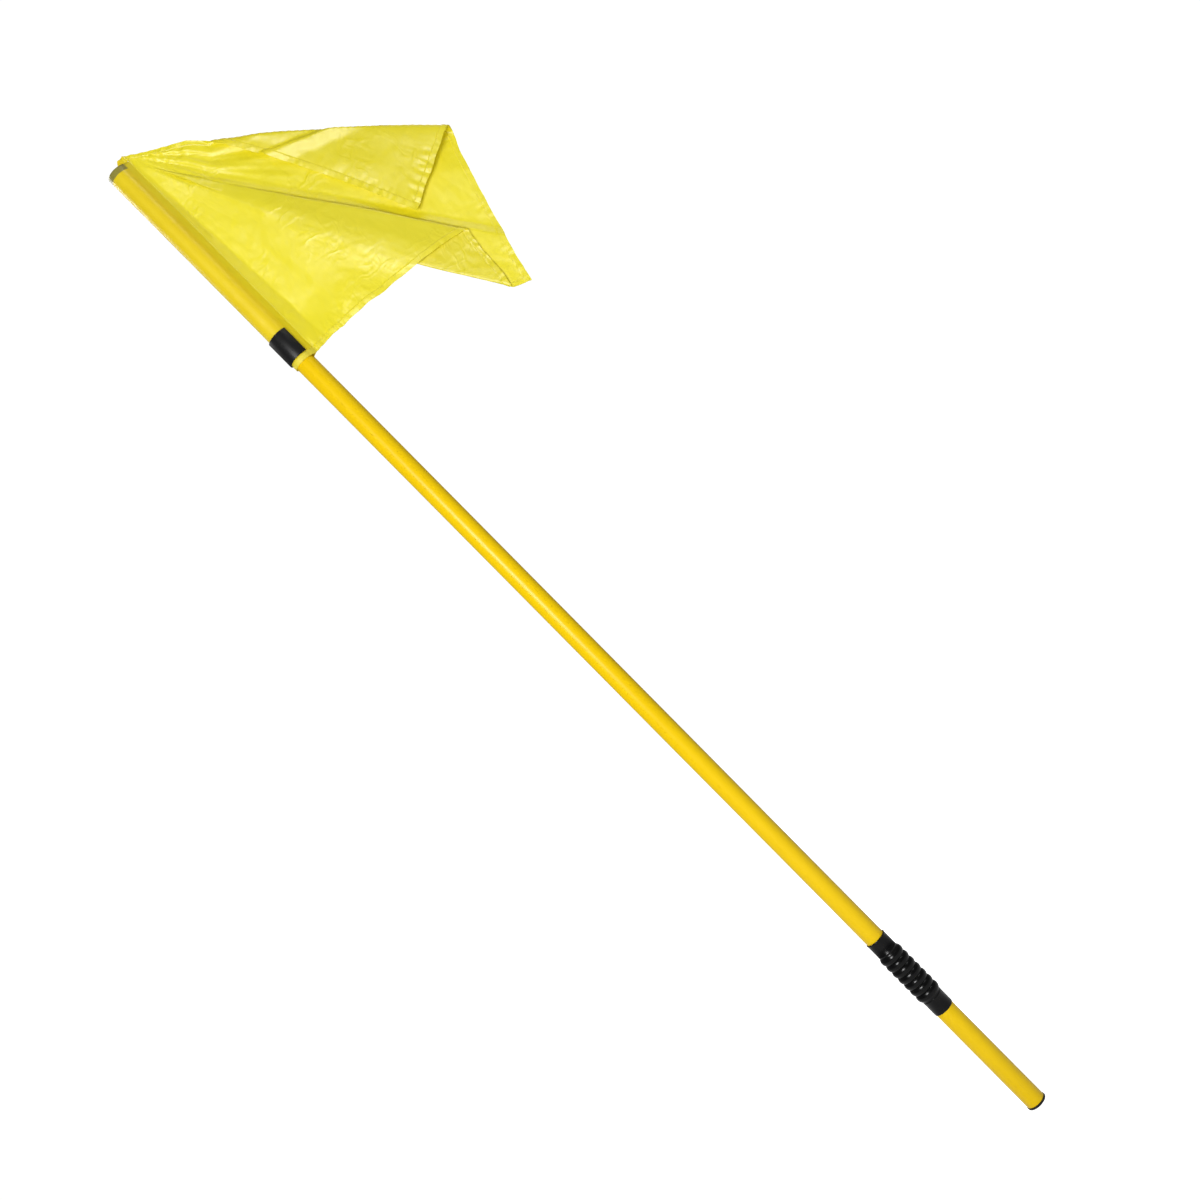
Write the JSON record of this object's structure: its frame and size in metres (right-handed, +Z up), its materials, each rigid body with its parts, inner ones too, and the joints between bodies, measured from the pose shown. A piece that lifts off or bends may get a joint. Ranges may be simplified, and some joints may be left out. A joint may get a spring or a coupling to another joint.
{
  "type": "sports corner flag with flexible pole",
  "caption": "Yellow tube pole on a flexible ribbed rubber joint, with a cloth flag whose sleeve covers the pole's top and is held by a snap clip.",
  "frame": {"origin": "centre of the flat lower face of the ground end plug, on the pole's axis", "axes": "+Z up along the pole, +X from the pole towards the flag's free edge, -Y the side where the front fold of the flag lies"},
  "size_m": [0.3654, 0.0354, 1.7],
  "materials": {
    "tube": "satin",
    "plug": "satin",
    "clip": "satin",
    "boot": "satin",
    "spring": "satin",
    "anchor": "satin",
    "cloth": "satin"
  },
  "bodies": {
    "ground": {"ground_tube": "tube", "ground_end_plug": "plug", "lower_spring_anchor": "anchor"},
    "joint_middle": {"joint_spring": "spring", "rubber_boot": "boot"},
    "pole": {"pole_tube": "tube", "upper_spring_anchor": "anchor", "top_end_plug": "plug"},
    "clip": {"flag_clip": "clip"},
    "flag": {"flag_sleeve": "cloth", "flag_panel": "cloth"}
  },
  "joints": [
    {"name": "bend_front_back", "type": "hinge", "parent": "ground", "child": "joint_middle", "pos_m": [0, 0, 0.217], "axis": [1, 0, 0], "range_deg": [-60, 60], "stiffness_Nm_per_rad": 20, "deforming": ["rubber_boot", "joint_spring"]},
    {"name": "bend_sideways", "type": "hinge", "parent": "joint_middle", "child": "pole", "pos_m": [0, 0, 0.2553], "axis": [0, 1, 0], "range_deg": [-60, 60], "stiffness_Nm_per_rad": 20, "deforming": ["rubber_boot", "joint_spring"]},
    {"name": "flag_turn", "type": "hinge", "parent": "pole", "child": "clip", "pos_m": [0, 0, 1.38], "axis": [0, 0, 1], "continuous": true},
    {"name": "flag_lift", "type": "slide", "parent": "clip", "child": "flag", "axis": [0, 0, 1], "range_m": [0, 0.36]}
  ]
}
